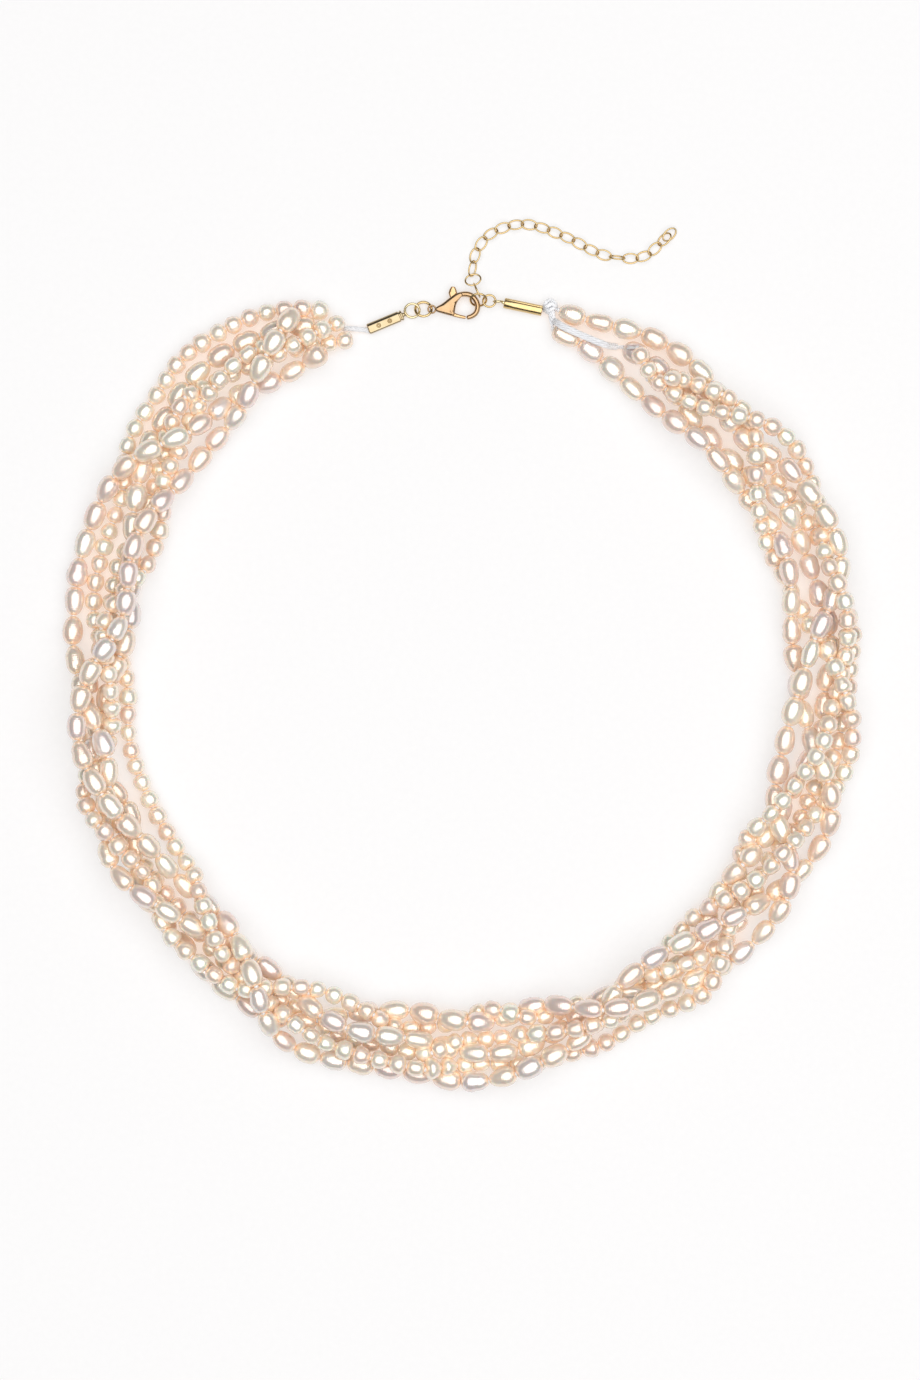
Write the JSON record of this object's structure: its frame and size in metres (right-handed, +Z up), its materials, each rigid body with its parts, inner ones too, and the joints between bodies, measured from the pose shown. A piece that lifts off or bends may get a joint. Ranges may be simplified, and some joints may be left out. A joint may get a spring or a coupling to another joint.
{
  "type": "pearl necklace",
  "caption": "Closed necklace of twisted pearl strands lying flat, with a lobster clasp, gold end caps and an extender chain.",
  "frame": {"origin": "middle of the whole outline, on the surface that the necklace lies on", "axes": "+Z up from that surface, +Y from the loop towards the clasp, +X towards the chain end"},
  "size_m": [0.1483, 0.162, 0.0127],
  "materials": {
    "pearl": "lustrous",
    "yellow_gold": "polished",
    "rose_gold": "polished",
    "silk": "soft sheen"
  },
  "bodies": {
    "front_left": {"rice_a_front_left": "pearl", "rice_b_front_left": "pearl", "rice_c_front_left": "pearl", "small_a_front_left": "pearl", "small_b_front_left": "pearl", "small_c_front_left": "pearl"},
    "front_right": {"rice_a_front_right": "pearl", "rice_b_front_right": "pearl", "rice_c_front_right": "pearl", "small_a_front_right": "pearl", "small_b_front_right": "pearl", "small_c_front_right": "pearl"},
    "back_left": {"rice_a_back_left": "pearl", "rice_b_back_left": "pearl", "rice_c_back_left": "pearl", "small_a_back_left": "pearl", "small_b_back_left": "pearl", "small_c_back_left": "pearl", "left_cap": "yellow_gold", "left_thread": "silk"},
    "back_right": {"rice_a_back_right": "pearl", "rice_b_back_right": "pearl", "rice_c_back_right": "pearl", "small_a_back_right": "pearl", "small_b_back_right": "pearl", "small_c_back_right": "pearl", "right_cap": "yellow_gold", "thread_knot": "silk", "right_thread": "silk"},
    "jump_ring": {"jump_ring": "yellow_gold"},
    "clasp": {"clasp_body": "rose_gold", "clasp_pivot_pin": "rose_gold", "clasp_spring": "yellow_gold"},
    "lever": {"clasp_lever": "rose_gold"},
    "side_ring": {"side_ring": "yellow_gold"},
    "hook_ring": {"hook_ring": "yellow_gold"},
    "chain_link_01": {"chain_link_01": "yellow_gold"},
    "chain_link_02": {"chain_link_02": "yellow_gold"},
    "chain_link_03": {"chain_link_03": "yellow_gold"},
    "chain_link_04": {"chain_link_04": "yellow_gold"},
    "chain_link_05": {"chain_link_05": "yellow_gold"},
    "chain_link_06": {"chain_link_06": "yellow_gold"},
    "chain_link_07": {"chain_link_07": "yellow_gold"},
    "chain_link_08": {"chain_link_08": "yellow_gold"},
    "chain_link_09": {"chain_link_09": "yellow_gold"},
    "chain_link_10": {"chain_link_10": "yellow_gold"},
    "chain_link_11": {"chain_link_11": "yellow_gold"},
    "chain_link_12": {"chain_link_12": "yellow_gold"},
    "chain_link_13": {"chain_link_13": "yellow_gold"},
    "chain_link_14": {"chain_link_14": "yellow_gold"},
    "chain_link_15": {"chain_link_15": "yellow_gold"},
    "chain_link_16": {"chain_link_16": "yellow_gold"},
    "chain_link_17": {"chain_link_17": "yellow_gold"},
    "chain_link_18": {"chain_link_18": "yellow_gold"},
    "chain_link_19": {"chain_link_19": "yellow_gold"},
    "chain_link_20": {"chain_link_20": "yellow_gold"},
    "chain_link_21": {"chain_link_21": "yellow_gold"}
  },
  "joints": [
    {"name": "flex_front", "type": "hinge", "parent": "front_left", "child": "front_right", "pos_m": [-0.00311, -0.07183, 0.004], "axis": [0, 0, 1], "range_deg": [-7, 7]},
    {"name": "flex_left", "type": "hinge", "parent": "front_left", "child": "back_left", "pos_m": [-0.06693, -0.003, 0.004], "axis": [0, 0, 1], "range_deg": [-7, 7]},
    {"name": "flex_right", "type": "hinge", "parent": "front_right", "child": "back_right", "pos_m": [0.06664, -0.003, 0.004], "axis": [0, 0, 1], "range_deg": [-7, 7]},
    {"name": "jump_ring_roll", "type": "hinge", "parent": "back_left", "child": "jump_ring", "pos_m": [-0.00693, 0.06427, 0.00112], "axis": [1, 0, 0], "range_deg": [-8, 8]},
    {"name": "clasp_roll", "type": "hinge", "parent": "back_left", "child": "clasp", "pos_m": [-0.00536, 0.06425, 0.00115], "axis": [0.9821, 0.1885, 0], "range_deg": [-4, 4]},
    {"name": "lever_press", "type": "hinge", "parent": "clasp", "child": "lever", "pos_m": [-0.00176, 0.0639, 0.00115], "axis": [0, 0, 1], "range_deg": [0, 25], "stiffness_Nm_per_rad": 0.0002, "springref_deg": -17.19, "deforming": ["clasp_spring"]},
    {"name": "side_ring_roll", "type": "hinge", "parent": "back_right", "child": "side_ring", "pos_m": [0.00529, 0.06579, 0.0012], "axis": [1, 0, 0], "range_deg": [-8, 8]},
    {"name": "hook_ring_roll", "type": "hinge", "parent": "back_right", "child": "hook_ring", "pos_m": [0.00327, 0.06597, 0.00144], "axis": [1, 0, 0], "range_deg": [-3, 3]},
    {"name": "chain_bend_01", "type": "hinge", "parent": "back_right", "child": "chain_link_01", "pos_m": [0.00327, 0.067, 0.0022], "axis": [0, 0, 1], "range_deg": [-1.5, 6]},
    {"name": "chain_bend_02", "type": "hinge", "parent": "chain_link_01", "child": "chain_link_02", "pos_m": [0.00257, 0.06872, 0.0016], "axis": [0, 0, 1], "range_deg": [-1.5, 6]},
    {"name": "chain_bend_03", "type": "hinge", "parent": "chain_link_02", "child": "chain_link_03", "pos_m": [0.00227, 0.07062, 0.00085], "axis": [0, 0, 1], "range_deg": [-1.5, 6]},
    {"name": "chain_bend_04", "type": "hinge", "parent": "chain_link_03", "child": "chain_link_04", "pos_m": [0.0024, 0.07305, 0.0006], "axis": [0, 0, 1], "range_deg": [-1.5, 6]},
    {"name": "chain_bend_05", "type": "hinge", "parent": "chain_link_04", "child": "chain_link_05", "pos_m": [0.00322, 0.07537, 0.0006], "axis": [0, 0, 1], "range_deg": [-1.5, 6]},
    {"name": "chain_bend_06", "type": "hinge", "parent": "chain_link_05", "child": "chain_link_06", "pos_m": [0.00468, 0.07736, 0.0006], "axis": [0, 0, 1], "range_deg": [-1.5, 6]},
    {"name": "chain_bend_07", "type": "hinge", "parent": "chain_link_06", "child": "chain_link_07", "pos_m": [0.00666, 0.07881, 0.0006], "axis": [0, 0, 1], "range_deg": [-1.5, 6]},
    {"name": "chain_bend_08", "type": "hinge", "parent": "chain_link_07", "child": "chain_link_08", "pos_m": [0.00899, 0.07966, 0.0006], "axis": [0, 0, 1], "range_deg": [-1.5, 6]},
    {"name": "chain_bend_09", "type": "hinge", "parent": "chain_link_08", "child": "chain_link_09", "pos_m": [0.01145, 0.07998, 0.0006], "axis": [0, 0, 1], "range_deg": [-1.5, 6]},
    {"name": "chain_bend_10", "type": "hinge", "parent": "chain_link_09", "child": "chain_link_10", "pos_m": [0.0139, 0.07969, 0.0006], "axis": [0, 0, 1], "range_deg": [-1.5, 6]},
    {"name": "chain_bend_11", "type": "hinge", "parent": "chain_link_10", "child": "chain_link_11", "pos_m": [0.01629, 0.07895, 0.0006], "axis": [0, 0, 1], "range_deg": [-1.5, 6]},
    {"name": "chain_bend_12", "type": "hinge", "parent": "chain_link_11", "child": "chain_link_12", "pos_m": [0.01861, 0.07804, 0.0006], "axis": [0, 0, 1], "range_deg": [-1.5, 6]},
    {"name": "chain_bend_13", "type": "hinge", "parent": "chain_link_12", "child": "chain_link_13", "pos_m": [0.02089, 0.07701, 0.0006], "axis": [0, 0, 1], "range_deg": [-1.5, 6]},
    {"name": "chain_bend_14", "type": "hinge", "parent": "chain_link_13", "child": "chain_link_14", "pos_m": [0.02311, 0.07587, 0.0006], "axis": [0, 0, 1], "range_deg": [-1.5, 6]},
    {"name": "chain_bend_15", "type": "hinge", "parent": "chain_link_14", "child": "chain_link_15", "pos_m": [0.02538, 0.07482, 0.0006], "axis": [0, 0, 1], "range_deg": [-1.5, 6]},
    {"name": "chain_bend_16", "type": "hinge", "parent": "chain_link_15", "child": "chain_link_16", "pos_m": [0.02776, 0.07411, 0.0006], "axis": [0, 0, 1], "range_deg": [-1.5, 6]},
    {"name": "chain_bend_17", "type": "hinge", "parent": "chain_link_16", "child": "chain_link_17", "pos_m": [0.03023, 0.07378, 0.0006], "axis": [0, 0, 1], "range_deg": [-1.5, 6]},
    {"name": "chain_bend_18", "type": "hinge", "parent": "chain_link_17", "child": "chain_link_18", "pos_m": [0.0327, 0.07391, 0.0006], "axis": [0, 0, 1], "range_deg": [-1.5, 6]},
    {"name": "chain_bend_19", "type": "hinge", "parent": "chain_link_18", "child": "chain_link_19", "pos_m": [0.03496, 0.07481, 0.0006], "axis": [0, 0, 1], "range_deg": [-1.5, 6]},
    {"name": "chain_bend_20", "type": "hinge", "parent": "chain_link_19", "child": "chain_link_20", "pos_m": [0.03688, 0.07637, 0.0006], "axis": [0, 0, 1], "range_deg": [-1.5, 6]},
    {"name": "chain_bend_21", "type": "hinge", "parent": "chain_link_20", "child": "chain_link_21", "pos_m": [0.03825, 0.0777, 0.0006], "axis": [0, 0, 1], "range_deg": [-1.5, 6]}
  ],
  "couplings": [
    {"joint": "flex_left", "follows": "flex_front", "ratio": 1},
    {"joint": "flex_right", "follows": "flex_front", "ratio": -1}
  ]
}
